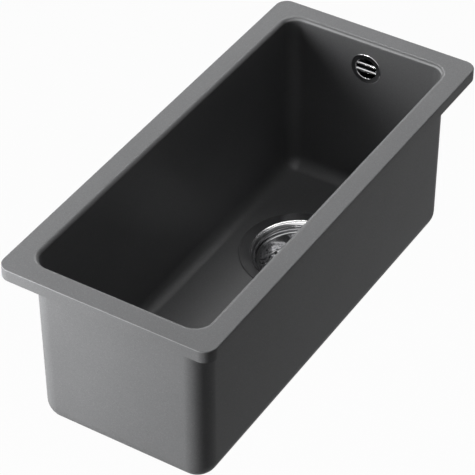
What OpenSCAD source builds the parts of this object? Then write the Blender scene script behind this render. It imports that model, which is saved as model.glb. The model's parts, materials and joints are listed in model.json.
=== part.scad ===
// Undermount kitchen sink: a narrow moulded composite bowl that hangs by its
// flange under a worktop, with a lift-out strainer basket, a screwed waste
// and an overflow piped down behind the end wall.
// X runs across the bowl, +Y towards the overflow wall, and Z up from the
// top face of the flange, which is at zero.

/* [Flange] */
// Width of the flange across the bowl
flange_w = 200; // [190:1:240]
// Length of the flange along the bowl
flange_l = 440; // [400:1:520]
// Width of the rim from the flange's edge to the bowl's walls
rim_w = 20.5; // [17:0.5:25]
// Thickness of the flange
flange_t = 11.5; // [8:0.5:12]
// Radius of the flange's corners seen from above
flange_corner = 11.5; // [6:0.5:16]
// Rounding along the flange's top outer edge
flange_edge = 1; // [0.5:0.1:2]

/* [Bowl] */
// Depth from the flange top down to the floor
bowl_depth = 163; // [140:1:200]
// Radius over which the flange top turns down into the walls
rim_round = 4; // [2:0.5:6]
// Radius between the walls and the floor
floor_round = 13; // [8:0.5:20]
// How much rounder the upright inner corners are than that
inner_corner_more = 1.5; // [0.5:0.5:6]
// How far each inner wall leans in on its way down
wall_lean = 3; // [1:0.5:4]
// Thickness of the walls just under the flange
wall_t = 3.2; // [2.8:0.1:6]
// Thickness of the floor
floor_t = 7.5; // [6.5:0.5:10]
// How much rounder the upright outer corners are than the inner ones
outer_corner_more = 4.5; // [3:0.1:6]
// How much tighter the rounding round the underside is than those corners
body_round_less = 1; // [0.5:0.5:6]
// How far each outer wall leans in on its way down
body_lean = 0.8; // [0:0.1:1.5]

/* [Waste] */
// Distance of the waste from the middle of the bowl
waste_y = 87; // [0:1:100]
// Inside diameter of the cup below the shoulder that guards the basket's rim
cup_step_d = 77; // [72:0.5:82]
// Width of that shoulder
shoulder_w = 2.1; // [1.6:0.1:3]
// Width of the sloping part between the shoulder's bore and the flange
cup_slope_w = 5.4; // [4.5:0.1:7]
// Width of the cup's flange
cup_flange_w = 9; // [7:0.5:11]
// How far the hole through the floor lies inside that flange
waste_hole_in = 1; // [0.5:0.1:1.5]
// Radius of the roll from the flange into the sloping part
cup_roll = 3; // [2:0.5:3.5]
// Angle through which the flange rolls before the sloping part
cup_roll_angle = 40; // [35:1:50]
// How far the cup's flange dishes down to its roll
cup_dish = 0.4; // [0.2:0.1:1]
// Inside diameter of the throat that the basket's seal closes
cup_throat_d = 51; // [46:0.5:53]
// Depth of the shoulder below the floor
cup_step_depth = 9.8; // [9:0.1:13]
// Height of the straight wall below the shoulder
cup_wall_h = 14.2; // [12:0.1:18]
// Height over which the cup then turns in, down to the ledge of the basket's seal
cup_turn_h = 10.5; // [9.5:0.5:13]
// Height of the throat, from that ledge down to the bottom plate
cup_throat_h = 5.5; // [4.5:0.5:8]
// Radius of the turn from the cup's wall towards the throat
cup_round = 8; // [5:0.5:9]
// Thickness of the cup's sheet steel
cup_t = 1; // [0.8:0.1:1.2]
// Number of outlet holes in the cup's bottom plate
cup_holes = 6; // [4:1:8]
// Diameter of each outlet hole
cup_hole_d = 10; // [7:0.5:10.5]
// Thickness of the seal under the cup's flange
cup_seal_t = 1.5; // [1:0.1:2]
// Thickness of the seal between the underside and the waste body
body_seal_t = 3; // [2:0.5:4]

/* [Waste body] */
// Width of the seal and the clamping flange under the floor
clamp_w = 12; // [9:0.5:14]
// Thickness of the clamping flange
waste_flange_t = 4; // [3:0.5:6]
// Wall thickness of the moulded waste body
waste_wall = 3; // [2.5:0.5:4]
// Outside diameter of the outlet spigot, a one and a half inch thread
outlet_d = 47.8; // [46:0.1:50]
// Length of the outlet spigot
outlet_l = 20; // [18:1:22]
// Height of the narrowing part
waste_cone = 8; // [7:0.5:9]
// Distance between the clamping flange and the overflow branch under it
branch_drop = 5; // [4.5:0.5:6]
// Thickness of the ribs that carry the screw hub
rib_t = 4; // [3:0.5:5]
// Height of the ribs and the screw hub
rib_h = 11; // [9:0.5:12]
// Wall thickness of the screw hub round its brass insert
hub_wall = 2.75; // [2:0.05:4]
// Number of ribs round the screw hub
ribs = 3; // [3:1:5]

/* [Centre screw] */
// Diameter of the screw that pulls the cup and the waste body together
screw_d = 8; // [6.5:0.5:9]
// How far the screw's head stands out round its shank
screw_head_w = 3; // [2:0.5:3.5]
// Height of the screw's head
screw_head_h = 2.6; // [2.2:0.1:2.8]
// Thickness of the washer under the head
washer_t = 0.8; // [0.5:0.1:1]
// Wall thickness of the brass insert in the hub
insert_wall = 1.7; // [1.4:0.1:2.5]

/* [Basket] */
// Clearance between the basket's rolled rim and the cup round it
basket_gap = 0.4; // [0.4:0.1:1]
// Width of the rolled rim
basket_rim_w = 3.6; // [3:0.1:4.5]
// Radius of the two turns of the rolled rim
basket_rim_round = 1.2; // [0.9:0.1:1.4]
// How far the basket's wall draws in from its rim to its flat bottom
basket_draw = 9.95; // [9:0.05:12]
// Height of the basket's bottom above the ledge of its seal
basket_rise = 14; // [13:0.5:15]
// Radius between the basket's wall and its bottom
basket_round = 3; // [2:0.5:4]
// Thickness of the basket's sheet steel
basket_t = 0.8; // [0.6:0.1:1]
// Diameter of the straining holes
strain_d = 4; // [3:0.1:4.6]
// How far the outer ring of straining holes lies outside the flat bottom
strain_out = 0.25; // [-1:0.05:0.5]
// Distance between the rings of straining holes
strain_pitch = 6.5; // [6.2:0.1:7]
// Number of rings of straining holes
strain_rings = 3; // [2:1:3]
// Gap between neighbouring holes round a ring
strain_gap = 3.9; // [3:0.1:5]
// Diameter of the basket's lifting knob
knob_d = 17; // [14:0.5:18]
// Height of the knob above the basket's bottom
knob_h = 13; // [11:0.5:15]
// Diameter of the knob's neck
knob_neck_d = 7.5; // [6.5:0.5:9]
// Diameter of the stud that passes through the basket
stud_d = 5; // [4:0.5:5.5]
// How far the rubber seal laps over the ledge round the throat
seal_lap = 1.2; // [1:0.1:1.5]
// Thickness of the rubber seal
seal_t = 3; // [2.6:0.2:3.2]
// Diameter of the pin that drops into the centre screw
pin_d = 4; // [3:0.5:4.5]
// How far the pin reaches into the screw
pin_engage = 4.5; // [3:0.5:6]

/* [Overflow] */
// Outside diameter of the rosette's threaded barrel
barrel_d = 23.6; // [22:0.1:26]
// Wall thickness of that barrel
barrel_wall = 1.6; // [1:0.1:1.9]
// Clearance between the barrel and the overflow hole in the end wall
overflow_hole_gap = 0.7; // [0.3:0.1:1]
// Width of the rosette's flange outside the barrel
rosette_w = 3.2; // [2.4:0.1:4]
// Thickness of the rosette's flange
rosette_t = 1; // [0.8:0.1:1.5]
// Length of the rosette's barrel
barrel_l = 14; // [12:0.5:16]
// Height of each of the two crossbars
bar_h = 3.3; // [2.5:0.1:3.6]
// Distance between the middles of the two crossbars
bar_pitch = 6.6; // [6:0.1:7.5]
// How much deeper than high the crossbars are
bar_deeper = 0.6; // [0.4:0.1:1.4]
// Thickness of the seal between the end wall and the elbow
elbow_seal_t = 2.5; // [2:0.5:3]
// Width of the elbow's flange and its seal round the overflow hole
elbow_flange_w = 3.75; // [3:0.05:4.5]
// Distance between the bowl's flange and the elbow's flange under it
overflow_drop = 1.25; // [0.5:0.05:12]
// Thickness of the elbow's flange
elbow_flange_t = 3; // [2.5:0.5:4]
// Wall thickness of the elbow round the barrel
elbow_wall = 1.7; // [1.4:0.1:2.5]
// Clearance between the end wall and the union nut behind it
nut_clear = 0.75; // [0.5:0.05:4]

/* [Overflow pipe] */
// Wall thickness of the threaded spigots at both ends of the pipe
spigot_wall = 2.5; // [2.2:0.1:3]
// Distance between the elbow's flange and the union nut below it
spigot_free = 4.75; // [2:0.25:10]
// Wall thickness of the union nuts, finger ribs included
nut_wall = 3.5; // [3:0.1:4.5]
// How far a union nut covers its spigot
nut_grip = 10; // [8:0.5:12]
// Thickness of a union nut's end wall
nut_end_t = 2.5; // [2:0.5:3]
// Number of finger ribs round a union nut
nut_ribs = 12; // [8:1:16]
// Diameter of each finger rib
nut_rib_d = 3; // [2:0.5:3.5]
// Thickness of the sealing cone inside a union nut
cone_t = 4; // [3:0.5:5]
// Wall thickness of the pipe at its plain ends
pipe_wall = 1.7; // [1.2:0.1:2]
// How far the pipe's ribs stand out
pipe_rib = 0.8; // [0.5:0.1:1.2]
// Distance from one rib of the pipe to the next
pipe_pitch = 4.4; // [4:0.1:6]
// Radius of the pipe's bend
pipe_bend = 35; // [32:1:40]
// How far a plain end goes into its spigot
pipe_insert = 10; // [8:0.5:12]

/* [Hidden] */

// Clearances: a pin that runs in a bore, two parts that nest, two parts that pass
run_gap = 0.05;
seat_gap = 0.3;
pass_gap = 0.5;
// How far a cutting shape runs past what it cuts
over = 1;
// Steps round a quarter turn of the moulded bowl, and round other curves
corner_steps = 10;
curve_steps = 6;
// Steps down the rounded edges of the moulded bowl
edge_steps = 6;
pipe_sides = 8;
$fn = 72;

// The bowl, clear between its walls at the top, its corners and its floor
bowl_w = flange_w - 2 * rim_w;
bowl_l = flange_l - 2 * rim_w;
bowl_corner = floor_round + inner_corner_more;
body_corner = bowl_corner + outer_corner_more;
body_round = body_corner - body_round_less;
floor_z = -bowl_depth;
base_z = floor_z - floor_t;
recess_h = cup_seal_t + cup_t;

// Strainer cup: diameters outwards from the step, depths down from the floor
cup_bore_d = cup_step_d + 2 * shoulder_w;
cup_roll_d = cup_bore_d + 2 * cup_slope_w;
cup_flange_d = cup_roll_d + 2 * cup_flange_w;
waste_hole_d = cup_roll_d - 2 * waste_hole_in;
cup_wall_depth = cup_step_depth + cup_wall_h;
cup_ledge_depth = cup_wall_depth + cup_turn_h;
cup_depth = cup_ledge_depth + cup_throat_h;

// Centre screw with its insert and hub
screw_head_d = screw_d + 2 * screw_head_w;
insert_d = screw_d + 2 * run_gap + 2 * insert_wall;
hub_d = insert_d + 2 * hub_wall;

// Overflow, all sized from the rosette's barrel
rosette_d = barrel_d + 2 * rosette_w;
rosette_bore_d = barrel_d - 2 * barrel_wall;
overflow_hole_d = barrel_d + 2 * overflow_hole_gap;
elbow_flange_d = overflow_hole_d + 2 * elbow_flange_w;
overflow_depth = flange_t + overflow_drop + elbow_flange_d / 2;
overflow_wall = wall_t + run_gap;
spigot_d = barrel_d + 2 * elbow_wall;
spigot_bore_d = spigot_d - 2 * spigot_wall;
spigot_l = elbow_flange_d / 2 + spigot_free + nut_grip;
nut_d = spigot_d + 2 * nut_wall;
elbow_reach = overflow_wall + nut_clear + nut_d / 2;
pipe_d = spigot_bore_d - 2 * seat_gap;
pipe_rib_d = pipe_d + 2 * pipe_rib;
pipe_bore_d = pipe_d - 2 * pipe_wall;

function arc(x, y, r, from, to, steps) =
    [for (i = [0:steps])
        let (a = from + (to - from) * i / steps)
        [x + r * cos(a), y + r * sin(a)]];

// A rounded rectangle as a ring of points at one height
function ring(half_w, half_l, r, z) =
    [for (quarter = [0:3])
        for (step = [0:corner_steps])
            let (a = 90 * (quarter + step / corner_steps),
                 side_x = quarter == 0 || quarter == 3 ? 1 : -1,
                 side_y = quarter < 2 ? 1 : -1)
            [side_x * (half_w - r) + r * cos(a),
             side_y * (half_l - r) + r * sin(a), z]];

// The same side of a path, moved square to itself by a distance
function unit(v) = v / norm(v);
function left_of(v) = [-v.y, v.x];
function beside(path, distance) =
    [for (i = [0:len(path) - 1])
        let (before = left_of(unit(path[max(i, 1)] - path[max(i, 1) - 1])),
             next = min(i + 1, len(path) - 1),
             after = left_of(unit(path[next] - path[next - 1])))
        path[i] + (before + after) * distance / (1 + before * after)];

function reversed(list) = [for (i = [len(list) - 1:-1:0]) list[i]];

// Skin over rings that all have the same number of points, with flat ends
module loft(rings) {
    count = len(rings[0]);
    last = len(rings) - 1;
    sides = [for (i = [0:last - 1])
        for (j = [0:count - 1])
            let (k = (j + 1) % count, a = i * count, b = (i + 1) * count)
            for (face = [[a + j, b + j, b + k], [a + j, b + k, a + k]]) face];
    first_end = [for (j = [0:count - 1]) j];
    last_end = [for (j = [count - 1:-1:0]) last * count + j];
    polyhedron([for (r = rings) each r], concat([first_end], sides, [last_end]));
}

// A tube of even thickness turned from the path of its upper face
module turned_sheet(path, t) {
    rotate_extrude()
        polygon(concat(path, reversed(beside(path, t))));
}

module turned(outline) {
    rotate_extrude()
        polygon(outline);
}

module at_waste(depth = 0) {
    translate([0, waste_y, floor_z - depth])
        children();
}

// Bowl walls: how far they lean in at a given height
wall_run = bowl_depth - floor_round - rim_round;
body_run = -base_z - body_round - flange_t;
function inner_lean(z) = wall_lean * (-z - rim_round) / wall_run;
function outer_lean(z) = body_lean * (-z - flange_t) / body_run;

// Outside of the moulding, from the underside up to the flange top
half_body_w = bowl_w / 2 + wall_t;
half_body_l = bowl_l / 2 + wall_t;
outside = concat(
    [for (i = [edge_steps:-1:0])
        let (a = 90 * i / edge_steps,
             inset = body_round * (1 - cos(a)))
        ring(half_body_w - body_lean - inset, half_body_l - body_lean - inset,
             body_corner - inset, base_z + body_round * (1 - sin(a)))],
    [ring(half_body_w, half_body_l, body_corner, -flange_t)],
    [ring(flange_w / 2, flange_l / 2, flange_corner, -flange_t)],
    [for (p = arc(0, -flange_edge, flange_edge, 0, 90, 3))
        ring(flange_w / 2 - flange_edge + p.x, flange_l / 2 - flange_edge + p.x,
             flange_corner - flange_edge + p.x, p.y)]);

// Inside of the moulding, from the flange top down to the floor
inside = concat(
    [for (p = arc(rim_round, -rim_round, rim_round, 90, 180, edge_steps))
        ring(bowl_w / 2 + p.x, bowl_l / 2 + p.x, bowl_corner + p.x, p.y)],
    [for (i = [0:edge_steps])
        let (a = 90 * i / edge_steps,
             inset = floor_round * (1 - cos(a)))
        ring(bowl_w / 2 - wall_lean - inset, bowl_l / 2 - wall_lean - inset,
             bowl_corner - inset, floor_z + floor_round * (1 - sin(a)))]);

// Overflow: the flat seat cut into the end wall, and the outside of that wall
overflow_seat_y = bowl_l / 2;

// Local Z points out through the end wall, local Y down
module at_overflow() {
    translate([0, overflow_seat_y, -overflow_depth])
        rotate([-90, 0, 0])
            children();
}

module bowl() {
    color([0.27, 0.28, 0.28])
        difference() {
            loft(concat(outside, inside));
            at_waste(recess_h)
                cylinder(d = cup_flange_d + 2 * pass_gap, h = recess_h + over);
            at_waste(floor_t + over)
                cylinder(d = waste_hole_d, h = floor_t + over);
            at_overflow()
                cylinder(d = overflow_hole_d, h = wall_t + over);
            at_overflow()
                translate([0, 0, -wall_lean])
                    cylinder(d = rosette_d + 2 * seat_gap, h = wall_lean);
        }
}

// Strainer cup, from the edge of its flange in to its screw hole
cup_bend = cup_t;
cup_roll_r = cup_roll_d / 2;
cup_bore_r = cup_bore_d / 2;
cup_throat_r = cup_throat_d / 2;
cup_slope_top = [cup_roll_r - cup_roll * sin(cup_roll_angle),
                 -cup_dish - cup_roll * (1 - cos(cup_roll_angle))];
cup_slope_end_x = cup_bore_r + cup_bend * (1 - cos(90 - cup_roll_angle));
cup_slope_end_y = cup_slope_top.y
    - (cup_slope_top.x - cup_slope_end_x) * tan(cup_roll_angle);
cup_bend_y = cup_slope_end_y - cup_bend * sin(90 - cup_roll_angle);
ledge_w = seal_lap + 2 * seat_gap;
// The wall turns until the slope down to the ledge touches it
cup_ledge = [cup_throat_r + ledge_w, -cup_ledge_depth];
cup_turn = [cup_step_d / 2 - cup_bend - cup_round, -cup_wall_depth];
cup_to_ledge = cup_ledge - cup_turn;
cup_turn_end = atan2(cup_to_ledge.y, cup_to_ledge.x)
    + acos(cup_round / norm(cup_to_ledge));
cup_path = concat(
    [[cup_flange_d / 2, 0]],
    arc(cup_roll_r, -cup_dish - cup_roll, cup_roll, 90, 90 + cup_roll_angle,
        curve_steps),
    arc(cup_bore_r + cup_bend, cup_bend_y, cup_bend, 90 + cup_roll_angle, 180,
        curve_steps),
    [[cup_bore_r, -cup_step_depth]],
    [[cup_step_d / 2 + cup_bend, -cup_step_depth]],
    [[cup_step_d / 2, -cup_step_depth - cup_bend]],
    arc(cup_turn.x, cup_turn.y, cup_round, 0, cup_turn_end, curve_steps),
    [cup_ledge],
    [[cup_throat_r, -cup_ledge_depth]],
    [[cup_throat_r - cup_bend, -cup_depth]],
    [[(screw_d + 2 * run_gap) / 2, -cup_depth]]);

// The outlet holes share the plate between the screw's washer and the throat
cup_hole_ring = (cup_throat_r - cup_bend + screw_head_d / 2) / 2;

module strainer_cup() {
    color([0.78, 0.79, 0.8])
        difference() {
            at_waste()
                turned_sheet(cup_path, cup_t);
            for (i = [0:cup_holes - 1])
                at_waste(cup_depth + cup_t + over)
                    rotate([0, 0, 360 * i / cup_holes])
                        translate([cup_hole_ring, 0, 0])
                            cylinder(d = cup_hole_d, h = cup_t + 2 * over);
        }
}

// The seal fills the recess under the dished flange
cup_seal_in = cup_roll_r + seat_gap;
cup_seal_out = cup_flange_d / 2 - pass_gap;
function under_flange(r) =
    -cup_t - cup_dish * (cup_flange_d / 2 - r) / (cup_flange_d / 2 - cup_roll_r);

module cup_seal() {
    color([0.08, 0.08, 0.08])
        at_waste()
            turned([[cup_seal_in, -recess_h], [cup_seal_out, -recess_h],
                    [cup_seal_out, under_flange(cup_seal_out) - run_gap],
                    [cup_seal_in, under_flange(cup_seal_in) - run_gap]]);
}

waste_flange_d = waste_hole_d + 2 * clamp_w;

module body_seal() {
    color([0.08, 0.08, 0.08])
        at_waste(floor_t + body_seal_t)
            difference() {
                cylinder(d = waste_flange_d, h = body_seal_t);
                translate([0, 0, -over])
                    cylinder(d = waste_hole_d, h = body_seal_t + 2 * over);
            }
}

// Waste body: depths below the bowl's floor
waste_top = floor_t + body_seal_t;
waste_bore_r = cup_bore_r + cup_t + 2 * pass_gap;
hub_top = cup_depth + cup_t + pass_gap;
waste_straight = hub_top + rib_h + over;
waste_neck = waste_straight + waste_cone;
branch_depth = waste_top + waste_flange_t + branch_drop + spigot_d / 2;
outlet_bottom = waste_neck + outlet_l;
outlet_bore_r = outlet_d / 2 - waste_wall;
branch_l = waste_bore_r + waste_wall + nut_grip + pass_gap + nut_end_t;

// The branch starts half way through the curved wall
branch_reach = sqrt(pow(waste_bore_r + waste_wall, 2) - pow(spigot_d / 2, 2));
branch_start = (waste_bore_r + branch_reach) / 2;

module waste_shell() {
    turned([[waste_bore_r, -waste_top], [waste_flange_d / 2, -waste_top],
            [waste_flange_d / 2, -waste_top - waste_flange_t],
            [waste_bore_r + waste_wall, -waste_top - waste_flange_t],
            [waste_bore_r + waste_wall, -waste_straight],
            [outlet_d / 2, -waste_neck],
            [outlet_d / 2, -outlet_bottom],
            [outlet_bore_r, -outlet_bottom],
            [outlet_bore_r, -waste_neck],
            [waste_bore_r, -waste_straight]]);
}

module branch(d, from, to) {
    translate([0, from, -branch_depth])
        rotate([-90, 0, 0])
            cylinder(d = d, h = to - from);
}

module waste_hub() {
    translate([0, 0, -hub_top - rib_h]) {
        cylinder(d = hub_d, h = rib_h);
        for (i = [0:ribs - 1])
            rotate([0, 0, 360 * i / ribs - 90])
                translate([0, -rib_t / 2, 0])
                    cube([waste_bore_r + waste_wall / 2, rib_t, rib_h]);
    }
}

module waste_body() {
    color([0.16, 0.16, 0.17])
        at_waste()
            difference() {
                union() {
                    waste_shell();
                    branch(spigot_d, branch_start, branch_l);
                    waste_hub();
                }
                branch(spigot_bore_d, waste_bore_r - spigot_bore_d / 2, branch_l + over);
                translate([0, 0, -hub_top - rib_h - over])
                    cylinder(d = insert_d + 2 * run_gap, h = rib_h + 2 * over);
            }
}

module screw_insert() {
    color([0.78, 0.62, 0.3])
        at_waste(hub_top + rib_h)
            difference() {
                cylinder(d = insert_d, h = rib_h);
                translate([0, 0, -over])
                    cylinder(d = screw_d + 2 * run_gap, h = rib_h + 2 * over);
            }
}

screw_top = cup_depth - washer_t - screw_head_h;
pin_bore_h = pin_engage + 2 * pass_gap;

module centre_screw() {
    color([0.8, 0.8, 0.82])
        at_waste(screw_top)
            difference() {
                union() {
                    translate([0, 0, -screw_head_h])
                        cylinder(d = screw_head_d, h = screw_head_h);
                    translate([0, 0, screw_top - hub_top - rib_h])
                        cylinder(d = screw_d, h = hub_top + rib_h - screw_top);
                }
                translate([0, 0, -pin_bore_h])
                    cylinder(d = pin_d + 2 * run_gap, h = pin_bore_h + over);
            }
}

module screw_washer() {
    color([0.15, 0.15, 0.15])
        at_waste(cup_depth)
            difference() {
                cylinder(d = screw_head_d, h = washer_t);
                translate([0, 0, -over])
                    cylinder(d = screw_d + 2 * run_gap, h = washer_t + 2 * over);
            }
}

// Basket: its rolled rim rests on the cup's shoulder, and its flat bottom has
// rings of holes
rim_out = cup_bore_r - basket_gap;
rim_lip = cup_step_depth - seat_gap - basket_t;
floor_r = rim_out - basket_draw;
strain_ring_d = 2 * (floor_r + strain_out);
basket_depth = cup_ledge_depth - basket_rise;
seal_d = cup_throat_d + 2 * seal_lap;
basket_path = concat(
    [[rim_out, -rim_lip - basket_t]],
    arc(rim_out - basket_rim_round, -rim_lip, basket_rim_round, 0, 90, curve_steps),
    arc(rim_out - basket_rim_w + basket_rim_round, -rim_lip, basket_rim_round,
        90, 170, curve_steps),
    arc(floor_r, -basket_depth + basket_round, basket_round, -10, -90, curve_steps),
    [[stud_d / 2 + run_gap, -basket_depth]]);

module basket() {
    color([0.82, 0.83, 0.84])
        at_waste()
            difference() {
                turned_sheet(basket_path, basket_t);
                for (row = [0:strain_rings - 1])
                    let (ring_d = strain_ring_d - 2 * row * strain_pitch,
                         count = floor(PI * ring_d / (strain_d + strain_gap)))
                    for (i = [0:count - 1])
                        rotate([0, 0, 360 * i / count])
                            translate([ring_d / 2, 0, -basket_depth - basket_t - over])
                                cylinder(d = strain_d, h = basket_round + over);
            }
}

// Knob above the basket, with its stud down through the hub
basket_under = basket_depth + basket_t;
seal_top = cup_ledge_depth - seat_gap - seal_t;
hub_bottom = seal_top + seal_t + basket_t;
knob_cap = 2.5 * stud_d / 2;
knob_edge = knob_d / 12;

module basket_knob() {
    color([0.8, 0.8, 0.82])
        at_waste(basket_depth)
            turned(concat(
                [[0, -basket_t - seal_t], [stud_d / 2, -basket_t - seal_t],
                 [stud_d / 2, run_gap], [knob_neck_d / 2 + knob_edge, run_gap],
                 [knob_neck_d / 2, knob_edge + run_gap],
                 [knob_neck_d / 2, knob_h / 2]],
                arc(knob_d / 2 - knob_edge, knob_h - knob_cap / 2, knob_edge,
                    -90, 0, curve_steps),
                arc(knob_d / 2 - 2 * knob_edge, knob_h - 2 * knob_edge,
                    2 * knob_edge, 0, 90, curve_steps),
                [[0, knob_h]]));
}

// Hub under the basket: it takes the stud, carries the seal and ends in the pin
hub_plate_r = seal_d / 2 - 5 * basket_t;
hub_neck_r = knob_d / 2;
seal_hole_r = hub_neck_r - 2 * basket_t;

module basket_hub() {
    color([0.2, 0.2, 0.21])
        at_waste()
            difference() {
                turned([[0, -basket_under - run_gap],
                        [hub_neck_r, -basket_under - run_gap],
                        [hub_neck_r, -seal_top + 2 * basket_t],
                        [hub_plate_r, -seal_top + basket_t],
                        [hub_plate_r, -seal_top],
                        [seal_hole_r, -seal_top],
                        [seal_hole_r, -seal_top - seal_t],
                        [hub_neck_r, -seal_top - seal_t],
                        [hub_neck_r, -hub_bottom],
                        [pin_d / 2, -hub_bottom],
                        [pin_d / 2, -screw_top - pin_engage],
                        [0, -screw_top - pin_engage]]);
                translate([0, 0, -basket_under - seal_t])
                    cylinder(d = stud_d + 2 * run_gap, h = seal_t + over);
            }
}

module basket_seal() {
    color([0.06, 0.06, 0.06])
        at_waste(seal_top + seal_t)
            difference() {
                cylinder(d = seal_d, h = seal_t);
                translate([0, 0, -over])
                    cylinder(r = seal_hole_r + run_gap, h = seal_t + 2 * over);
            }
}

// Section of a crossbar, with a half-round front and back
bar_section = concat(
    arc(bar_deeper / 2, 0, bar_h / 2, -90, 90, 2 * curve_steps),
    arc(-bar_deeper / 2, 0, bar_h / 2, 90, 270, 2 * curve_steps));

module overflow_rosette() {
    rim = rosette_t / 2;
    bar_front = (bar_h + bar_deeper) / 2 - rim;
    color([0.72, 0.73, 0.74])
        at_overflow() {
            turned(concat(
                [[rosette_bore_d / 2, barrel_l]],
                arc(rosette_bore_d / 2 + rim, -rim, rim, 180, 270, curve_steps),
                arc(rosette_d / 2 - rim, -rim, rim, 270, 360, curve_steps),
                [[rosette_d / 2, 0]],
                [[barrel_d / 2, 0]],
                [[barrel_d / 2, barrel_l]]));
            intersection() {
                translate([0, 0, -rim])
                    cylinder(d = (rosette_bore_d + barrel_d) / 2, h = barrel_l);
                union()
                    for (side = [-1, 1])
                        translate([-barrel_d / 2, side * bar_pitch / 2, bar_front])
                            rotate([0, 90, 0])
                                linear_extrude(height = barrel_d)
                                    polygon(bar_section);
            }
        }
}

module overflow_seal() {
    color([0.08, 0.08, 0.08])
        at_overflow()
            translate([0, 0, overflow_wall])
                difference() {
                    cylinder(d = elbow_flange_d, h = elbow_seal_t);
                    translate([0, 0, -over])
                        cylinder(d = overflow_hole_d, h = elbow_seal_t + 2 * over);
                }
}

elbow_start = overflow_wall + elbow_seal_t;

module elbow_way(d, from, drop) {
    translate([0, 0, from])
        cylinder(d = d, h = elbow_reach - from);
    translate([0, 0, elbow_reach])
        sphere(d = d);
    translate([0, 0, elbow_reach])
        rotate([-90, 0, 0])
            cylinder(d = d, h = drop);
}

module overflow_elbow() {
    color([0.16, 0.16, 0.17])
        at_overflow()
            difference() {
                union() {
                    translate([0, 0, elbow_start])
                        cylinder(d = elbow_flange_d, h = elbow_flange_t);
                    elbow_way(spigot_d, elbow_start, spigot_l);
                }
                elbow_way(spigot_bore_d, elbow_start - over, spigot_l + over);
                translate([0, 0, elbow_start - over])
                    cylinder(d = barrel_d + 2 * run_gap,
                             h = barrel_l + pass_gap - elbow_start + over);
            }
}

// A union nut and its sealing cone, with local Z along the pipe and zero at
// the spigot's mouth
nut_h = nut_grip + cone_t + nut_end_t;

module union_nut() {
    color([0.13, 0.13, 0.14])
        translate([0, 0, -nut_grip])
            difference() {
                union() {
                    cylinder(d = nut_d - nut_rib_d / 2, h = nut_h);
                    for (i = [0:nut_ribs - 1])
                        rotate([0, 0, 360 * i / nut_ribs])
                            translate([(nut_d - nut_rib_d) / 2, 0, 0])
                                cylinder(d = nut_rib_d, h = nut_h - nut_end_t);
                }
                translate([0, 0, -over])
                    cylinder(d = spigot_d + 2 * run_gap, h = nut_grip + cone_t + over);
                cylinder(d = pipe_d + 2 * seat_gap, h = nut_h + over);
            }
}

module sealing_cone() {
    color([0.07, 0.07, 0.07])
        turned([[pipe_d / 2 + run_gap, 0], [spigot_d / 2 - seat_gap, 0],
                [spigot_d / 2 - seat_gap, cone_t / 4],
                [pipe_d / 2 + seat_gap + cone_t / 4, cone_t],
                [pipe_d / 2 + run_gap, cone_t]]);
}

module at_elbow_mouth() {
    translate([0, overflow_seat_y + elbow_reach, -overflow_depth - spigot_l])
        rotate([180, 0, 0])
            children();
}

module at_branch_mouth() {
    translate([0, waste_y + branch_l, floor_z - branch_depth])
        rotate([-90, 0, 0])
            children();
}

module elbow_nut() {
    at_elbow_mouth()
        union_nut();
}

module elbow_cone() {
    at_elbow_mouth()
        sealing_cone();
}

module branch_nut() {
    at_branch_mouth()
        union_nut();
}

module branch_cone() {
    at_branch_mouth()
        sealing_cone();
}

// Route of the overflow pipe in the plane across the bowl's middle: down from
// the elbow, round one bend and along to the branch. Distances along it start
// inside the elbow's spigot.
drop_y = overflow_seat_y + elbow_reach;
drop_top = -overflow_depth - spigot_l + pipe_insert;
level_z = floor_z - branch_depth;
drop_l = drop_top - level_z - pipe_bend;
bend_l = PI * pipe_bend / 2;
level_l = drop_y - pipe_bend - waste_y - branch_l + pipe_insert;
pipe_l = drop_l + bend_l + level_l;

// Point on the route, and the angle turned there, at a distance along it
function turn_at(s) = 90 * max(0, min(1, (s - drop_l) / bend_l));
function route(s) =
    let (turn = turn_at(s),
         down = min(s, drop_l),
         along = max(0, s - drop_l - bend_l))
    [0, drop_y - pipe_bend * (1 - cos(turn)) - along,
     drop_top - down - pipe_bend * sin(turn)];
function pipe_ring(s, r) =
    let (centre = route(s), turn = turn_at(s))
    [for (side = [0:pipe_sides - 1])
        let (a = 360 * (side + 0.5) / pipe_sides)
        centre + r * [cos(a), sin(a) * cos(turn), -sin(a) * sin(turn)]];

// Plain ends as long as the pipe is wide, then ribs of crest and root
plain_l = pipe_insert + cone_t + nut_end_t + over + pipe_pitch;
rib_count = round((pipe_l - 2 * plain_l) / pipe_pitch);
rib_pitch = (pipe_l - 2 * plain_l) / rib_count;
pipe_outer = concat(
    [pipe_ring(0, pipe_d / 2), pipe_ring(plain_l, pipe_d / 2)],
    [for (i = [0:rib_count - 1])
        for (half = [0, 1])
            pipe_ring(plain_l + (i + 0.25 + half / 2) * rib_pitch,
                      half == 0 ? pipe_rib_d / 2 : pipe_d / 2)],
    [pipe_ring(pipe_l - plain_l, pipe_d / 2), pipe_ring(pipe_l, pipe_d / 2)]);
pipe_inner = concat(
    [pipe_ring(pipe_l, pipe_bore_d / 2)],
    [for (i = [rib_count:-2:0])
        pipe_ring(plain_l + i * rib_pitch, pipe_bore_d / 2)],
    [pipe_ring(0, pipe_bore_d / 2)]);

// Skin over rings that close on themselves, so the last joins the first
module closed_loft(rings) {
    count = len(rings[0]);
    total = len(rings);
    polyhedron(
        [for (r = rings) each r],
        [for (i = [0:total - 1])
            for (j = [0:count - 1])
                let (k = (j + 1) % count, a = i * count, b = ((i + 1) % total) * count)
                for (face = [[a + j, b + j, b + k], [a + j, b + k, a + k]]) face]);
}

module overflow_pipe() {
    color([0.2, 0.2, 0.21])
        closed_loft(concat(pipe_outer, pipe_inner));
}

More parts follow.
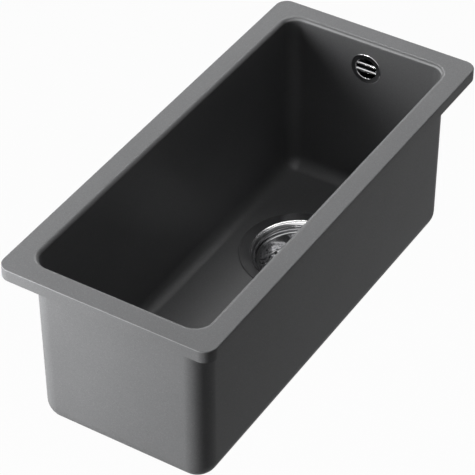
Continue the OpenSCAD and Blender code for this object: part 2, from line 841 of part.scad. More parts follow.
bowl();
cup_seal();
strainer_cup();
body_seal();
waste_body();
screw_insert();
centre_screw();
screw_washer();
basket();
basket_knob();
basket_hub();
basket_seal();
overflow_rosette();
overflow_seal();
overflow_elbow();
elbow_nut();
elbow_cone();
overflow_pipe();
branch_nut();
branch_cone();
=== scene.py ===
import json
import math

import bmesh
import bpy
from mathutils import Matrix, Vector
from mathutils.geometry import delaunay_2d_cdt


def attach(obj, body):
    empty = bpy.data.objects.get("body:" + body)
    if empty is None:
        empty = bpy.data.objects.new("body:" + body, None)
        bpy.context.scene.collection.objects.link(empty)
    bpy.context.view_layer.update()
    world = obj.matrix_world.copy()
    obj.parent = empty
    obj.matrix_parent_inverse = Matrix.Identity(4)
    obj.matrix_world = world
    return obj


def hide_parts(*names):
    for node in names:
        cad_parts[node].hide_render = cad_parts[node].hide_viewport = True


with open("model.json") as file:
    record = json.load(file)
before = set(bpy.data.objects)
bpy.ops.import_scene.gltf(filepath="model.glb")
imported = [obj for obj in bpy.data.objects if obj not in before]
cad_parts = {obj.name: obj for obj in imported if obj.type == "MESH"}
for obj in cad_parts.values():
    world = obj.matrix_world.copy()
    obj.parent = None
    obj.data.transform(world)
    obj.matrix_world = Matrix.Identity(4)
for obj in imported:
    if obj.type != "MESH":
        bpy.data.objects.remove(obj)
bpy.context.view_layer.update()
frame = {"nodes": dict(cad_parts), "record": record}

# Sizes are in millimetres, as in the CAD, and MM turns them into Blender's metres
MM = 0.001

# The flange: width, length, thickness, corner and the rounds of its upper and lower edge
FLANGE_W, FLANGE_L, FLANGE_T = 200.0, 440.0, 11.5
FLANGE_CORNER, FLANGE_EDGE, FLANGE_LOW_EDGE = 11.5, 1.0, 0.5
# The bowl's inside, from its rim to its floor
BOWL_W, BOWL_L, DEPTH = 159.0, 399.0, 163.0
RIM_ROUND, BOWL_CORNER, FLOOR_ROUND, WALL_LEAN = 4.0, 14.5, 13.0, 3.0
# The bowl's outside, with a small fillet where the wall meets the flange
WALL_T, FLOOR_T, FILLET = 3.2, 7.5, 1.6
BODY_CORNER, BODY_ROUND, BODY_LEAN = 19.0, 18.0, 0.8
BASE_Z = -DEPTH - FLOOR_T
# The waste's hole in its round recess, and their broken edges
WASTE_Y, WASTE_HOLE_R, RECESS_R, RECESS_H = 87.0, 45.0, 55.5, 2.5
RECESS_EDGE, HOLE_EDGE = 0.7, 0.4
# The overflow's hole in its round seat in the end wall
SEAT_Y, OVERFLOW_Z, OVERFLOW_HOLE_R, SEAT_R = BOWL_L / 2, -29.0, 12.5, 15.3
SEAT_EDGE, SEAT_EDGE_DEPTH, SEAT_LEAST_DEPTH = 0.25, 0.12, 0.13

# The strainer cup: where its flange rolls down, over what angle, and where the slope meets the
# bore, with the CAD's number of steps round a bend
CUP_ROLL_R, CUP_ROLL, CUP_ROLL_ANGLE, CUP_DISH = 46.0, 3.0, 40.0, 0.4
CUP_BORE_R, CUP_BEND, CUP_STEPS = 40.6, 1.0, 6
# The outlet and its thread, which runs out towards both ends
OUTLET_R, OUTLET_TOP, OUTLET_LOW = 23.9, -224.5, -244.5
THREAD_PITCH, THREAD_DEPTH, THREAD_FLANK, THREAD_CREST = 2.309, 1.1, 2.6, 0.12
RUN_OUT_TOP, RUN_OUT_LOW = 2.5, 1.2

# The overflow pipe, its ribs, its plain ends and how far they go into the spigots
PIPE_R, PIPE_BORE_R, PIPE_BEND = 10.7, 9.0, 35.0
RIB_H, RIB_PITCH, PIPE_PLAIN, PIPE_INSERT = 0.8, 4.4, 21.9, 10.0
# The elbow's reach behind the overflow's seat, and its length down to the end of its spigot
ELBOW_REACH, ELBOW_L = 21.0, 31.0
# The waste's branch: its depth below the bowl's floor, and its length from the waste's axis
BRANCH_DEPTH, BRANCH_L = 33.0, 58.6

# Steps and sides of round shapes
CORNER_STEPS, BODY_STEPS, RIM_STEPS, FLOOR_STEPS = 14, 10, 8, 10
FILLET_STEPS, LOW_EDGE_STEPS, EDGE_STEPS = 3, 2, 4
WASTE_SIDES, OVERFLOW_SIDES, PIPE_SIDES, BORE_STEPS = 96, 64, 40, 60
THREAD_SIDES, THREAD_ROWS, CUP_SIDES = 96, 10, 144

# Vertices closer than this, in metres, become one
WELD = 2e-6


# Mesh helpers
def new_object(name, data):
    obj = bpy.data.objects.new(name, data)
    bpy.context.scene.collection.objects.link(obj)
    return obj


def turns(first, last, steps):
    """Angles from first to last, which are in degrees, as radians."""
    return [math.radians(first + (last - first) * i / steps) for i in range(steps + 1)]


def sharpen(obj, degrees, flat_first=True):
    """Edges that turn more than this stay sharp; flat faces may lead the normals."""
    limit = math.radians(degrees)
    bm = bmesh.new()
    bm.from_mesh(obj.data)
    for edge in bm.edges:
        if len(edge.link_faces) == 2 and edge.calc_face_angle(0) > limit:
            edge.smooth = False
    bm.to_mesh(obj.data)
    bm.free()
    if flat_first:
        normals = obj.modifiers.new("normals", "WEIGHTED_NORMAL")
        normals.keep_sharp = True
        normals.weight = 100


class Shell:
    """Vertices and faces collected for one mesh."""

    def __init__(self):
        self.verts, self.faces = [], []

    def add(self, points):
        start = len(self.verts)
        self.verts.extend(points)
        return list(range(start, start + len(points)))

    def strip(self, a, b, skip=()):
        """Quads between two closed loops, apart from those in skip."""
        for i in range(len(a)):
            if i in skip:
                continue
            j = (i + 1) % len(a)
            self.faces.append((a[i], b[i], b[j], a[j]))

    def plate(self, outer, inner, flat):
        """The flat region between two loops; flat turns a vertex into 2D."""
        triangles_inside, epsilon = 1, 1e-7
        ids = outer + inner
        points = [Vector(flat(self.verts[i])) for i in ids]
        outer_n, inner_n = len(outer), len(inner)
        edges = [(i, (i + 1) % outer_n) for i in range(outer_n)]
        edges += [(outer_n + i, outer_n + (i + 1) % inner_n) for i in range(inner_n)]
        faces = [list(range(outer_n)), [outer_n + i for i in reversed(range(inner_n))]]
        out = delaunay_2d_cdt(points, edges, faces, triangles_inside, epsilon)
        source = [s[0] if s else None for s in out[3]]
        for face in out[2]:
            in_hole = all(source[v] >= outer_n for v in face)
            if not in_hole:
                self.faces.append(tuple(ids[source[v]] for v in face))

    def make(self, name, body):
        """A smooth object from what was collected, on its body."""
        mesh = bpy.data.meshes.new(name)
        mesh.from_pydata([tuple(c * MM for c in v) for v in self.verts], [], self.faces)
        bm = bmesh.new()
        bm.from_mesh(mesh)
        bmesh.ops.remove_doubles(bm, verts=bm.verts, dist=WELD)
        bmesh.ops.recalc_face_normals(bm, faces=bm.faces)
        for face in bm.faces:
            face.smooth = True
        bm.to_mesh(mesh)
        bm.free()
        obj = new_object(name, mesh)
        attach(obj, body)
        return obj


def ring(half_w, half_l, r, z):
    """A rounded rectangle."""
    points = []
    for quarter in range(4):
        side_x = 1 if quarter in (0, 3) else -1
        side_y = 1 if quarter < 2 else -1
        for step in range(CORNER_STEPS + 1):
            a = math.radians(90 * (quarter + step / CORNER_STEPS))
            points.append((side_x * (half_w - r) + r * math.cos(a),
                           side_y * (half_l - r) + r * math.sin(a), z))
    return points


def circle(middle, r, count, put):
    """A circle round (0, middle); put turns its two coordinates into a vertex."""
    angles = [2 * math.pi * i / count for i in range(count)]
    return [put(r * math.cos(a), middle + r * math.sin(a)) for a in angles]


# The moulded bowl
def outside_rings():
    """Half width, half length, corner and height of each ring, from the underside up."""
    half_w, half_l = BOWL_W / 2 + WALL_T, BOWL_L / 2 + WALL_T
    rings = []
    # the round from the underside into the wall
    for a in turns(90, 0, BODY_STEPS):
        inset = BODY_ROUND * (1 - math.cos(a))
        rings.append((half_w - BODY_LEAN - inset, half_l - BODY_LEAN - inset,
                      BODY_CORNER - inset, BASE_Z + BODY_ROUND * (1 - math.sin(a))))
    # the fillet between the wall and the flange's underside
    for a in turns(0, 90, FILLET_STEPS):
        out = FILLET * (1 - math.cos(a))
        rings.append((half_w + out, half_l + out, BODY_CORNER + out,
                      -FLANGE_T - FILLET * (1 - math.sin(a))))
    # the lower and the upper edge of the flange
    for a in turns(0, 90, LOW_EDGE_STEPS):
        inset = FLANGE_LOW_EDGE * (1 - math.sin(a))
        rings.append((FLANGE_W / 2 - inset, FLANGE_L / 2 - inset, FLANGE_CORNER - inset,
                      -FLANGE_T + FLANGE_LOW_EDGE * (1 - math.cos(a))))
    for a in turns(0, 90, EDGE_STEPS):
        inset = FLANGE_EDGE * (1 - math.cos(a))
        rings.append((FLANGE_W / 2 - inset, FLANGE_L / 2 - inset, FLANGE_CORNER - inset,
                      -FLANGE_EDGE * (1 - math.sin(a))))
    return rings


def inside_rings():
    """The same for the inside, from the rim down to the floor."""
    rings = []
    # the rounded rim, and the round from the wall into the floor
    for a in turns(90, 180, RIM_STEPS):
        out = RIM_ROUND * (1 + math.cos(a))
        rings.append((BOWL_W / 2 + out, BOWL_L / 2 + out, BOWL_CORNER + out,
                      -RIM_ROUND * (1 - math.sin(a))))
    for a in turns(0, 90, FLOOR_STEPS):
        inset = FLOOR_ROUND * (1 - math.cos(a))
        rings.append((BOWL_W / 2 - WALL_LEAN - inset, BOWL_L / 2 - WALL_LEAN - inset,
                      BOWL_CORNER - inset, -DEPTH + FLOOR_ROUND * (1 - math.sin(a))))
    return rings


def add_waste_hole(shell, floor, underside):
    """The recess in the floor with its broken edge, and the waste's hole through it."""
    recess_z = -DEPTH - RECESS_H
    half_way = RECESS_EDGE * 0.3
    profile = [(RECESS_R + RECESS_EDGE, -DEPTH), (RECESS_R + half_way, -DEPTH - half_way),
               (RECESS_R, -DEPTH - RECESS_EDGE), (RECESS_R, recess_z),
               (WASTE_HOLE_R + HOLE_EDGE, recess_z), (WASTE_HOLE_R, recess_z - HOLE_EDGE),
               (WASTE_HOLE_R, BASE_Z + HOLE_EDGE), (WASTE_HOLE_R + HOLE_EDGE, BASE_Z)]

    def at(z):
        return lambda x, y: (x, y, z)

    def from_above(v):
        return v[0], v[1]
    circles = [shell.add(circle(WASTE_Y, r, WASTE_SIDES, at(z))) for r, z in profile]
    for a, b in zip(circles, circles[1:]):
        shell.strip(a, b)
    shell.plate(floor, circles[0], from_above)
    shell.plate(underside, circles[-1], from_above)


def wall_point(upper, lower):
    """A function that puts (x, z) on the end wall between two of its rings."""
    (_, y0, _, z0), (_, y1, _, z1) = upper, lower
    return lambda x, z: (x, y0 + (y1 - y0) * (z - z0) / (z1 - z0), z)


def add_overflow_hole(shell, inner, outer, inner_quad, outer_quad):
    """The overflow's seat and hole in the end wall, whose two faces are left open for it."""
    def sunk(depth, least_y):
        return lambda x, z: (x, max(least_y, inner(x, z)[1] + depth), z)

    def from_front(v):
        return v[0], v[2]
    circles = [shell.add(circle(OVERFLOW_Z, r, OVERFLOW_SIDES, put)) for r, put in (
        (SEAT_R + SEAT_EDGE, inner),
        (SEAT_R, sunk(SEAT_EDGE_DEPTH, 0.0)),
        (SEAT_R, sunk(SEAT_LEAST_DEPTH, SEAT_Y)),
        (OVERFLOW_HOLE_R, lambda x, z: (x, SEAT_Y, z)),
        (OVERFLOW_HOLE_R, outer))]
    for a, b in zip(circles, circles[1:]):
        shell.strip(a, b)
    shell.plate(inner_quad, circles[0], from_front)
    shell.plate(outer_quad, circles[-1], from_front)


def build_bowl():
    shell = Shell()
    outside, inside = outside_rings(), inside_rings()
    loops = [shell.add(ring(*r)) for r in outside + inside]
    # the strips of the plain walls, whose quad at the back gets the overflow's hole
    back = CORNER_STEPS
    outer_wall, inner_wall = BODY_STEPS, len(outside) + RIM_STEPS
    for i in range(len(loops) - 1):
        open_quads = (back,) if i in (outer_wall, inner_wall) else ()
        shell.strip(loops[i], loops[i + 1], skip=open_quads)
    add_waste_hole(shell, loops[-1], loops[0])

    def quad(i):
        upper, under = loops[i], loops[i + 1]
        return [upper[back], upper[back + 1], under[back + 1], under[back]]
    inner = wall_point(inside[RIM_STEPS], inside[RIM_STEPS + 1])
    outer = wall_point(outside[BODY_STEPS + 1], outside[BODY_STEPS])
    add_overflow_hole(shell, inner, outer, quad(inner_wall), quad(outer_wall))
    obj = shell.make("bowl_moulding", "sink")
    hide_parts("bowl")
    sharpen(obj, degrees=35)
    return obj


# The ribbed overflow pipe
def pipe_route():
    """The pipe's length, and a function for its centre and direction at a distance along it."""
    drop_y, level_z = SEAT_Y + ELBOW_REACH, -DEPTH - BRANCH_DEPTH
    drop_top = OVERFLOW_Z - ELBOW_L + PIPE_INSERT
    end_y = WASTE_Y + BRANCH_L - PIPE_INSERT
    drop = drop_top - level_z - PIPE_BEND
    bend = math.pi * PIPE_BEND / 2
    level = drop_y - PIPE_BEND - end_y

    def at(d):
        turn = max(0.0, min(1.0, (d - drop) / bend)) * math.pi / 2
        along = max(0.0, d - drop - bend)
        centre = (0.0, drop_y - PIPE_BEND * (1 - math.cos(turn)) - along,
                  drop_top - min(d, drop) - PIPE_BEND * math.sin(turn))
        return centre, turn
    return drop + bend + level, at


def pipe_profile(total):
    """Distance along the pipe and radius: down the outside with its ribs, and back up the bore."""
    # share of a rib's pitch, and height
    rise = [(0.12, 0.02), (0.24, 0.35), (0.34, 0.68), (0.45, RIB_H)]
    rib = rise + [(1 - share, height) for share, height in reversed(rise)]
    count = round((total - 2 * PIPE_PLAIN) / RIB_PITCH)
    pitch = (total - 2 * PIPE_PLAIN) / count
    profile = [(0.0, PIPE_R), (PIPE_PLAIN, PIPE_R)]
    for i in range(count):
        start = PIPE_PLAIN + i * pitch
        profile += [(start + share * pitch, PIPE_R + height) for share, height in rib]
    profile += [(total - PIPE_PLAIN, PIPE_R), (total, PIPE_R)]
    profile += [(total * (1 - i / BORE_STEPS), PIPE_BORE_R) for i in range(BORE_STEPS + 1)]
    return profile


def build_pipe():
    total, at = pipe_route()
    shell = Shell()
    loops = []
    for d, r in pipe_profile(total):
        centre, turn = at(d)
        points = []
        for k in range(PIPE_SIDES):
            a = 2 * math.pi * k / PIPE_SIDES
            points.append((centre[0] + r * math.cos(a),
                           centre[1] + r * math.sin(a) * math.cos(turn),
                           centre[2] - r * math.sin(a) * math.sin(turn)))
        loops.append(shell.add(points))
    for a, b in zip(loops, loops[1:] + loops[:1]):
        shell.strip(a, b)
    obj = shell.make("overflow_hose", "sink")
    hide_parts("overflow_pipe")
    sharpen(obj, degrees=60)
    return obj


# CAD pieces that get a finer shape over one band round the waste's axis
def waste_angle(v):
    return math.atan2(v.co.y - WASTE_Y * MM, v.co.x)


def cad_ring(bm, r, z):
    """The vertices of one ring of the CAD mesh, in order round the axis."""
    near_r, near_z = 2e-5, 1e-5
    found = []
    for v in bm.verts:
        from_axis = math.hypot(v.co.x, v.co.y - WASTE_Y * MM)
        if abs(v.co.z - z * MM) < near_z and abs(from_axis - r * MM) < near_r:
            found.append(v)
    return sorted(found, key=waste_angle)


def zip_rings(bm, a, b):
    """Triangles between two rings that may differ in their number of points."""
    i = j = 0
    while i < len(a) or j < len(b):
        next_a = waste_angle(a[i + 1]) if i + 1 < len(a) else math.inf
        next_b = waste_angle(b[j + 1]) if j + 1 < len(b) else math.inf
        p, q = a[i % len(a)], b[j % len(b)]
        if i < len(a) and (next_a <= next_b or j >= len(b)):
            i += 1
            bm.faces.new((p, q, a[i % len(a)]))
        else:
            j += 1
            bm.faces.new((p, q, b[j % len(b)]))


def open_band(bm, old):
    """Take out the faces between the CAD's rings in old, and return the first and last ring."""
    rings = [cad_ring(bm, r, z) for r, z in old]
    band = {v for ring_verts in rings for v in ring_verts}
    inner_faces = [f for f in bm.faces if all(v in band for v in f.verts)]
    bmesh.ops.delete(bm, geom=inner_faces, context="FACES_ONLY")
    loose = [v for v in bm.verts if not v.link_faces]
    bmesh.ops.delete(bm, geom=loose, context="VERTS")
    return rings[0], rings[-1]


def fill_band(bm, first, rows, last):
    """Faces from the first ring over rows of (r, angle, z) to the last ring."""
    lines = []
    for row in rows:
        places = [(r * math.cos(a), WASTE_Y + r * math.sin(a), z) for r, a, z in row]
        lines.append([bm.verts.new([c * MM for c in p]) for p in places])
    zip_rings(bm, first, lines[0])
    for upper, under in zip(lines, lines[1:]):
        for k in range(len(upper)):
            j = (k + 1) % len(upper)
            bm.faces.new((upper[k], under[k], under[j], upper[j]))
    zip_rings(bm, lines[-1], last)


def recut(node_name, name, old, rows, degrees):
    """Copy a CAD mesh and put rows of (r, angle, z) where the rings in old were."""
    mesh = frame["nodes"][node_name].data.copy()
    mesh.name = name
    mesh.materials.clear()
    bm = bmesh.new()
    bm.from_mesh(mesh)
    bmesh.ops.remove_doubles(bm, verts=bm.verts, dist=WELD)
    first, last = open_band(bm, old)
    fill_band(bm, first, rows, last)
    bmesh.ops.recalc_face_normals(bm, faces=bm.faces)
    for face in bm.faces:
        face.smooth = True
    for edge in bm.edges:
        edge.smooth = True
    bm.to_mesh(mesh)
    bm.free()
    obj = new_object(name, mesh)
    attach(obj, "sink")
    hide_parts(node_name)
    sharpen(obj, degrees, flat_first=False)
    return obj


def round_angles(count):
    """Even angles round the waste's axis, in the order of waste_angle."""
    return [2 * math.pi * (k + 0.5) / count - math.pi for k in range(count)]


def build_waste_body():
    """The waste body, with the thread of its outlet cut."""
    angles = round_angles(THREAD_SIDES)
    count = round((OUTLET_TOP - OUTLET_LOW) / THREAD_PITCH * THREAD_ROWS)
    rows = []
    for i in range(1, count):
        z = OUTLET_TOP + (OUTLET_LOW - OUTLET_TOP) * i / count
        fade = min(1.0, (OUTLET_TOP - z) / RUN_OUT_TOP, (z - OUTLET_LOW) / RUN_OUT_LOW)
        row = []
        for a in angles:
            turn = (z / THREAD_PITCH - a / (2 * math.pi)) % 1.0
            cut = min(1.0, max(0.0, THREAD_FLANK * abs(turn - 0.5) - THREAD_CREST))
            row.append((OUTLET_R - THREAD_DEPTH * cut * fade, a, z))
        rows.append(row)
    return recut("waste_body", "waste_moulding",
                 [(OUTLET_R, OUTLET_TOP), (OUTLET_R, OUTLET_LOW)], rows, degrees=32)


def arc(x, y, r, first, last, steps):
    return [(x + r * math.cos(a), y + r * math.sin(a)) for a in turns(first, last, steps)]


def cad_slope():
    """The CAD's rings (r, z) from the middle of the cup's roll over its slope to its bore."""
    roll_from = 4
    lean = math.radians(CUP_ROLL_ANGLE)
    # the roll, the slope with the one ring that the CAD's mesh has half way down, and the bend
    roll = arc(CUP_ROLL_R, -DEPTH - CUP_DISH - CUP_ROLL, CUP_ROLL,
               90, 90 + CUP_ROLL_ANGLE, CUP_STEPS)
    top_r, top_z = roll[-1]
    end_r = CUP_BORE_R + CUP_BEND * (1 - math.sin(lean))
    end_z = top_z - (top_r - end_r) * math.tan(lean)
    half_way = ((top_r + end_r) / 2, (top_z + end_z) / 2)
    bend = arc(CUP_BORE_R + CUP_BEND, end_z - CUP_BEND * math.cos(lean), CUP_BEND,
               90 + CUP_ROLL_ANGLE, 180, CUP_STEPS)
    return roll[roll_from:] + [half_way] + bend


def build_cup():
    """The pressed cup, with the small ledge inside its roll."""
    # radius and depth below the floor, from the roll over the ledge to the bore
    ledge = [(44.45, 0.80), (44.20, 0.84), (43.70, 0.88), (43.30, 0.93), (43.10, 1.00),
             (42.92, 1.13), (42.75, 1.28), (42.20, 1.78), (41.65, 2.30), (41.30, 2.68),
             (41.02, 3.08), (40.80, 3.55), (40.65, 4.05)]
    rows = [[(r, a, -DEPTH - depth) for a in round_angles(CUP_SIDES)] for r, depth in ledge]
    return recut("strainer_cup", "cup_pressing", cad_slope(), rows,
                 degrees=40)


# Helpers for materials
def new_material(name):
    mat = bpy.data.materials.new(name)
    mat.use_nodes = True
    tree = mat.node_tree
    bsdf = tree.nodes["Principled BSDF"]
    return mat, tree, bsdf


def node(tree, kind, **values):
    """A shader node, with values for its sockets and settings by name."""
    n = tree.nodes.new(kind)
    for key, value in values.items():
        if key in n.inputs:
            n.inputs[key].default_value = value
        else:
            setattr(n, key, value)
    return n


def coordinates(tree):
    """The place on the part, which moves with it, and the direction that the surface faces."""
    coords = node(tree, "ShaderNodeTexCoord")
    return coords.outputs["Object"], coords.outputs["Normal"]


def axes(tree, vector):
    n = node(tree, "ShaderNodeSeparateXYZ")
    tree.links.new(vector, n.inputs[0])
    return n.outputs


def noise(tree, where, scale, detail):
    n = node(tree, "ShaderNodeTexNoise", Scale=scale, Detail=detail)
    tree.links.new(where, n.inputs["Vector"])
    return n.outputs["Fac"]


def rgba(value):
    """A colour of three numbers, or a grey of one, with its alpha."""
    return (*value, 1) if isinstance(value, tuple) else (value, value, value, 1)


def ramp(tree, source, stops):
    """A grey or colour for each stop, and even steps from one to the next."""
    n = node(tree, "ShaderNodeValToRGB")
    elements = n.color_ramp.elements
    while len(elements) < len(stops):
        elements.new(0.5)
    for element, (at, value) in zip(elements, stops):
        element.position = at
        element.color = rgba(value)
    tree.links.new(source, n.inputs["Fac"])
    return n.outputs["Color"]


def mix(tree, a, b, factor, blend="MIX"):
    """Mixes greys, colours or the outputs of nodes."""
    # the sockets for colours, which share their names with those for numbers
    factor_socket, a_socket, b_socket, result_socket = 0, 6, 7, 2
    n = node(tree, "ShaderNodeMix", data_type="RGBA", blend_type=blend)
    for key, value in ((factor_socket, factor), (a_socket, a), (b_socket, b)):
        if isinstance(value, bpy.types.NodeSocket):
            tree.links.new(value, n.inputs[key])
        else:
            n.inputs[key].default_value = value if key == factor_socket else rgba(value)
    return n.outputs[result_socket]


def mapped(tree, value, source, target=(0.0, 1.0)):
    """A value moved from one range to another, and held at its ends."""
    n = node(tree, "ShaderNodeMapRange")
    for key, limit in zip(("From Min", "From Max", "To Min", "To Max"), (*source, *target)):
        n.inputs[key].default_value = limit
    tree.links.new(value, n.inputs["Value"])
    return n.outputs["Result"]


def bump(tree, bsdf, height, distance, strength):
    n = node(tree, "ShaderNodeBump")
    n.inputs["Strength"].default_value = strength
    n.inputs["Distance"].default_value = distance
    tree.links.new(height, n.inputs["Height"])
    tree.links.new(n.outputs["Normal"], bsdf.inputs["Normal"])


# The composite of the bowl
def stone_colour(tree, where):
    """Fine grains of slightly different greys, in a faintly cloudy tone."""
    grain = node(tree, "ShaderNodeTexVoronoi", Scale=1700.0)
    tree.links.new(where, grain.inputs["Vector"])
    grain_value = node(tree, "ShaderNodeSeparateColor")
    tree.links.new(grain.outputs["Color"], grain_value.inputs["Color"])
    speck = ramp(tree, grain_value.outputs["Red"],
                 [(0.0, (0.176, 0.178, 0.182)), (0.12, (0.191, 0.193, 0.197)),
                  (0.55, (0.199, 0.201, 0.205)), (0.90, (0.209, 0.211, 0.215)),
                  (0.98, (0.234, 0.235, 0.238))])
    cloud = noise(tree, where, scale=14.0, detail=4.0)
    shade = ramp(tree, cloud, [(0.3, 0.97), (0.7, 1.03)])
    return mix(tree, speck, shade, 1.0, "MULTIPLY")


def inside_share(tree, where, normal):
    """1 where a face looks towards the bowl's middle, and 0 on the rim and the outside."""
    # how far the face lies out along its own normal, which is below 0 inside the bowl
    outward = node(tree, "ShaderNodeVectorMath", operation="DOT_PRODUCT")
    tree.links.new(normal, outward.inputs[0])
    tree.links.new(where, outward.inputs[1])
    return mapped(tree, outward.outputs["Value"], (-5 * MM, -30 * MM))


def painted_highlight_share(tree, where, normal):
    """1 on the rounded edges at the top that face the front, which get a painted highlight."""
    facing = axes(tree, normal)
    turned = ramp(tree, facing["Z"], [(0.30, 0.0), (0.48, 1.0), (0.64, 1.0), (0.84, 0.0)])
    at_top = mapped(tree, axes(tree, where)["Z"], (-4.5 * MM, -3.5 * MM))
    to_front = mapped(tree, facing["Y"], (-0.25, -0.50))
    return mix(tree, 0.0, mix(tree, 0.0, turned, at_top), to_front)


def composite_material():
    """A matt stone, with an inside that is smoother than the rim and the outside, and darkened
    with painted shade.
    """
    # the factor of the painted shade on the inside's colour, and the factor on the inside's
    # roughness
    painted_inside_shade, inside_roughness = 0.72, 0.8
    outside_shine, inside_shine = 0.07, 0.35
    # the paler grey of the painted highlight on the front-facing top edges
    painted_highlight_colour = (0.400, 0.403, 0.408)
    mat, tree, bsdf = new_material("composite")
    where, normal = coordinates(tree)
    inside = inside_share(tree, where, normal)
    # painted shade: the colour inside the bowl is multiplied darker than on the rim and the
    # outside
    stone = mix(tree, stone_colour(tree, where), painted_inside_shade, inside, "MULTIPLY")
    # painted highlight: the rounded top edges that face the front are lightened towards a paler
    # grey
    stone_with_highlight = mix(tree, stone, painted_highlight_colour, painted_highlight_share(tree, where, normal))
    tree.links.new(stone_with_highlight, bsdf.inputs["Base Color"])
    tree.links.new(mapped(tree, inside, (0.0, 1.0), (outside_shine, inside_shine)),
                   bsdf.inputs["Specular IOR Level"])
    fine = noise(tree, where, scale=1500.0, detail=3.0)
    rough = ramp(tree, fine, [(0.25, 0.46), (0.75, 0.60)])
    tree.links.new(mix(tree, rough, inside_roughness, inside, "MULTIPLY"),
                   bsdf.inputs["Roughness"])
    bump(tree, bsdf, fine, distance=0.05 * MM, strength=0.35)
    return mat


# Steel, brass, plastic and rubber
def metal_material(name, colour, rough):
    """Metal with faint patches, the darker ones smoother, and a fine grain."""
    mat, tree, bsdf = new_material(name)
    where, _ = coordinates(tree)
    bsdf.inputs["Metallic"].default_value = 1.0
    wear = noise(tree, where, scale=60.0, detail=5.0)
    dark = tuple(c * 0.93 for c in colour)
    tree.links.new(mix(tree, dark, colour, wear), bsdf.inputs["Base Color"])
    tree.links.new(ramp(tree, wear, [(0.3, rough[0]), (0.75, rough[1])]),
                   bsdf.inputs["Roughness"])
    fine = noise(tree, where, scale=2200.0, detail=2.0)
    bump(tree, bsdf, fine, distance=0.01 * MM, strength=0.25)
    return mat


def moulded_material(name, colour, rough, grain):
    """Moulded plastic or rubber, with lighter and rougher clouds and a fine grain."""
    mat, tree, bsdf = new_material(name)
    where, _ = coordinates(tree)
    cloud = noise(tree, where, scale=45.0, detail=4.0)
    light = tuple(c * 1.25 for c in colour)
    tree.links.new(mix(tree, colour, light, cloud), bsdf.inputs["Base Color"])
    tree.links.new(ramp(tree, cloud, [(0.3, rough[0]), (0.7, rough[1])]),
                   bsdf.inputs["Roughness"])
    fine = noise(tree, where, scale=grain, detail=3.0)
    bump(tree, bsdf, fine, distance=0.04 * MM, strength=0.35)
    return mat


def paint(obj, mat):
    obj.data.materials.clear()
    obj.data.materials.append(mat)


# The camera, measured from the photo's edges
def build_camera():
    # angles in degrees, places in millimetres, focal length and image in pixels of the photo
    azimuth, elevation, roll = math.radians(31.97), math.radians(39.91), math.radians(-0.24)
    distance, to_right, to_top = 1935.50, -10.06, -64.41
    focal, image, sensor = 2328.96, 475, 36.0
    back = Vector((math.sin(azimuth) * math.cos(elevation),
                   -math.cos(azimuth) * math.cos(elevation), math.sin(elevation)))
    level = Vector((math.cos(azimuth), math.sin(azimuth), 0))
    upright = back.cross(level)
    right = level * math.cos(roll) + upright * math.sin(roll)
    up = upright * math.cos(roll) - level * math.sin(roll)
    place = (back * distance + right * to_right + up * to_top) * MM
    data = bpy.data.cameras.new("camera")
    data.sensor_width = sensor
    data.sensor_fit = "HORIZONTAL"
    data.lens = focal / image * sensor
    data.clip_start, data.clip_end = 0.05, 50.0
    cam = new_object("camera", data)
    cam.matrix_world = Matrix((
        (right.x, up.x, back.x, place.x),
        (right.y, up.y, back.y, place.y),
        (right.z, up.z, back.z, place.z),
        (0, 0, 0, 1)))
    bpy.context.scene.camera = cam


# Floor, world and lamps
def seen_directly(tree):
    """1 for rays from the camera and for those that mirrors and glass pass on."""
    path = node(tree, "ShaderNodeLightPath")
    seen = path.outputs["Is Camera Ray"]
    for other in ("Is Glossy Ray", "Is Transmission Ray"):
        both = node(tree, "ShaderNodeMath", operation="MAXIMUM")
        tree.links.new(seen, both.inputs[0])
        tree.links.new(path.outputs[other], both.inputs[1])
        seen = both.outputs[0]
    return seen


def floor_material():
    """Grey for the light that falls on it, and almost white where it is seen."""
    grey, white, glow_share = 0.5, 1.0, 0.96
    mat, tree, bsdf = new_material("floor")
    bsdf.inputs["Base Color"].default_value = rgba(grey)
    bsdf.inputs["Roughness"].default_value = 0.9
    glow = node(tree, "ShaderNodeEmission", Color=rgba(white), Strength=1.0)
    share = node(tree, "ShaderNodeMath", operation="MULTIPLY")
    tree.links.new(seen_directly(tree), share.inputs[0])
    share.inputs[1].default_value = glow_share
    both = node(tree, "ShaderNodeMixShader")
    tree.links.new(share.outputs[0], both.inputs[0])
    tree.links.new(bsdf.outputs[0], both.inputs[1])
    tree.links.new(glow.outputs[0], both.inputs[2])
    tree.links.new(both.outputs[0], tree.nodes["Material Output"].inputs["Surface"])
    return mat


def build_stage():
    """The floor, whose half side and height are in metres."""
    half, z = 6.0, -0.62
    mesh = bpy.data.meshes.new("floor")
    mesh.from_pydata([(-half, -half, z), (half, -half, z), (half, half, z), (-half, half, z)],
                     [], [(0, 1, 2, 3)])
    mesh.materials.append(floor_material())
    floor = new_object("floor", mesh)


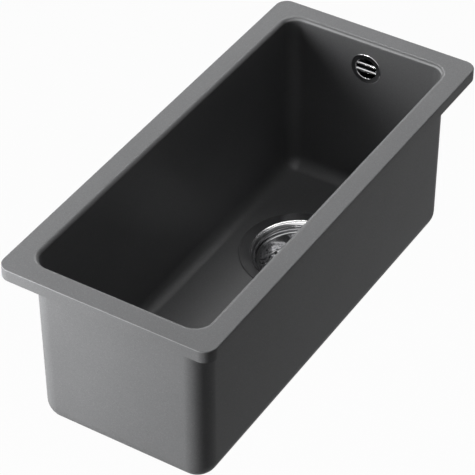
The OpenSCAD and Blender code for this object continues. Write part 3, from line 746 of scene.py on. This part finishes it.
def build_world():
    """White where it is seen; the light on the object comes from the lamps."""
    white = 1.0
    world = bpy.data.worlds.new("studio")
    bpy.context.scene.world = world
    world.use_nodes = True
    tree = world.node_tree
    back = tree.nodes["Background"]
    back.inputs["Color"].default_value = rgba(white)
    tree.links.new(seen_directly(tree), back.inputs["Strength"])


def lamp(name, direction, distance, side, power):
    """A square lamp that points at the middle of the bowl."""
    aim = Vector((0, 0, -0.08))
    toward = Vector(direction).normalized()
    data = bpy.data.lights.new(name, "AREA")
    data.shape = "SQUARE"
    data.size = side
    data.energy = power
    obj = new_object(name, data)
    obj.location = aim + toward * distance
    obj.rotation_mode = "QUATERNION"
    obj.rotation_quaternion = (-toward).to_track_quat("-Z", "Y")


# The scene
bpy.context.scene.view_settings.view_transform = "Standard"
build_camera()
bowl = build_bowl()
hose = build_pipe()
waste = build_waste_body()
cup = build_cup()

steel = (0.76, 0.76, 0.77)
composite = composite_material()
polished = metal_material("polished_steel", steel, rough=(0.05, 0.10))
pressed = metal_material("pressed_steel", steel, rough=(0.11, 0.16))
brass = metal_material("brass", (0.72, 0.52, 0.22), rough=(0.22, 0.38))
plastic = moulded_material("dark_plastic", (0.028, 0.028, 0.030), rough=(0.36, 0.52),
                           grain=1200.0)
rubber = moulded_material("black_rubber", (0.018, 0.018, 0.018), rough=(0.55, 0.75),
                          grain=1800.0)
looks = {"composite": composite, "polished_steel": polished, "brass": brass,
         "dark_plastic": plastic, "black_rubber": rubber}
slots = {s["node"]: s["material_slot"] for s in frame["record"]["subparts"]}
for name, obj in frame["nodes"].items():
    paint(obj, looks[slots[name]])
paint(bowl, composite)
paint(hose, plastic)
paint(waste, plastic)
paint(cup, pressed)

build_stage()
build_world()
# direction from the bowl, distance and side in metres, power in watts
lamp("front_left", (-0.518, -0.830, 0.208), 0.75, 0.3, 5.8)
lamp("above_behind", (-0.50, 0.90, 1.0), 1.5, 0.9, 17.4)
lamp("above", (-0.04, -0.06, 1.0), 4.0, 0.5, 14.0)
lamp("left", (-0.770, -0.280, 0.574), 0.9, 0.4, 1.7)
lamp("behind_right", (0.642, 0.765, 0.052), 0.8, 0.3, 0.46)
